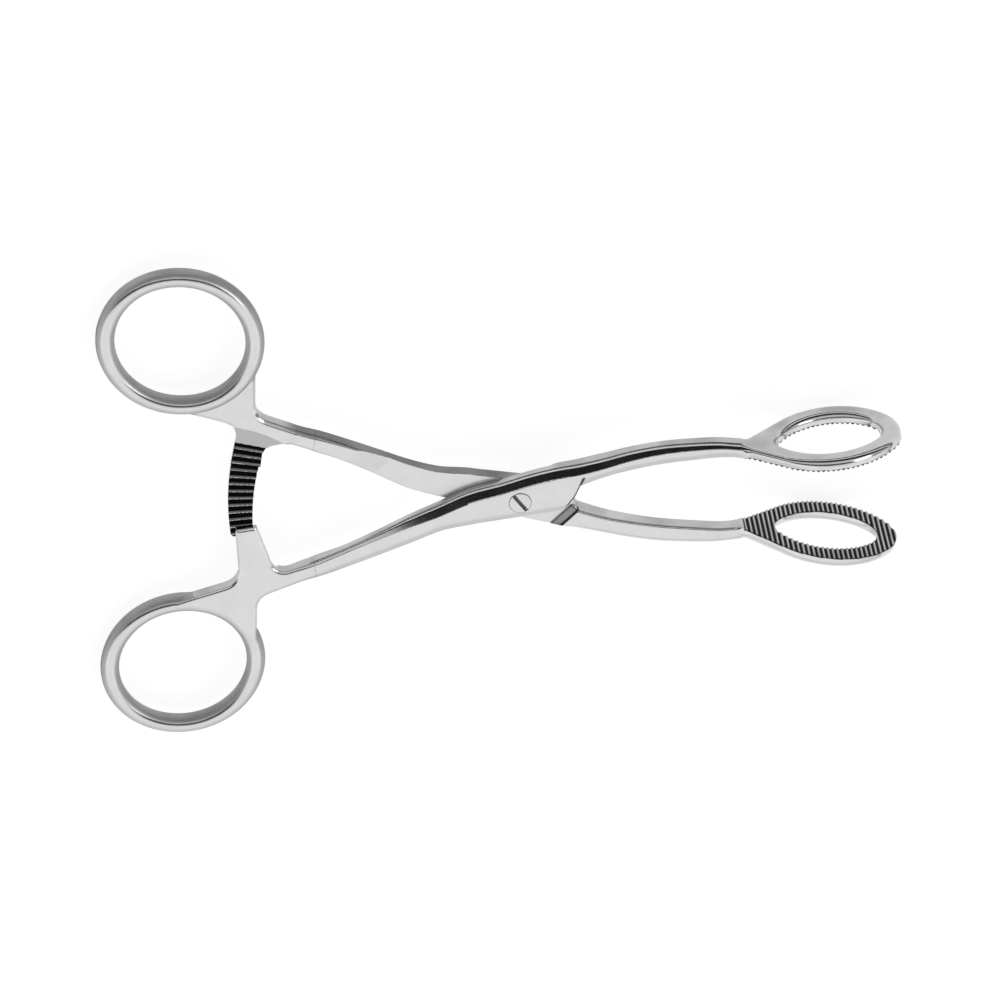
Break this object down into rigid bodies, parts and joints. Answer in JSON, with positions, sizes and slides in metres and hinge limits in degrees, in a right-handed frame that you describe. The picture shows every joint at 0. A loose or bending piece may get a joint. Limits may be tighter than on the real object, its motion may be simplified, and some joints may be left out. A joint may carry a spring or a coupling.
{
  "type": "tongue forceps",
  "caption": "Scissor-like tongue forceps with oval finger rings, a ratchet between the shanks, a lap lock on a slotted screw and open oval jaws with cross-serrated faces.",
  "frame": {"origin": "centre of the bounding box, on the plane where the two halves meet, 4 mm behind the pivot axis", "axes": "+X runs along the instrument from the finger rings to the jaws, +Z is the pivot axis and points out of the screw's slotted head, +Y completes the right-handed frame towards the finger ring of the lower half"},
  "size_m": [0.1701, 0.1128, 0.0238],
  "materials": {
    "forged_steel": "satin ground faces with polished edges and rings",
    "screw_steel": "turned and polished flush with the lock"
  },
  "bodies": {
    "lower_half": {"lower_jaw_half": "forged_steel", "pivot_screw": "screw_steel"},
    "upper_half": {"upper_jaw_half": "forged_steel"}
  },
  "joints": [
    {"name": "screw_pivot", "type": "hinge", "parent": "lower_half", "child": "upper_half", "pos_m": [0.004, 0, 0], "axis": [0, 0, 1], "range_deg": [-16.8, 32]}
  ]
}
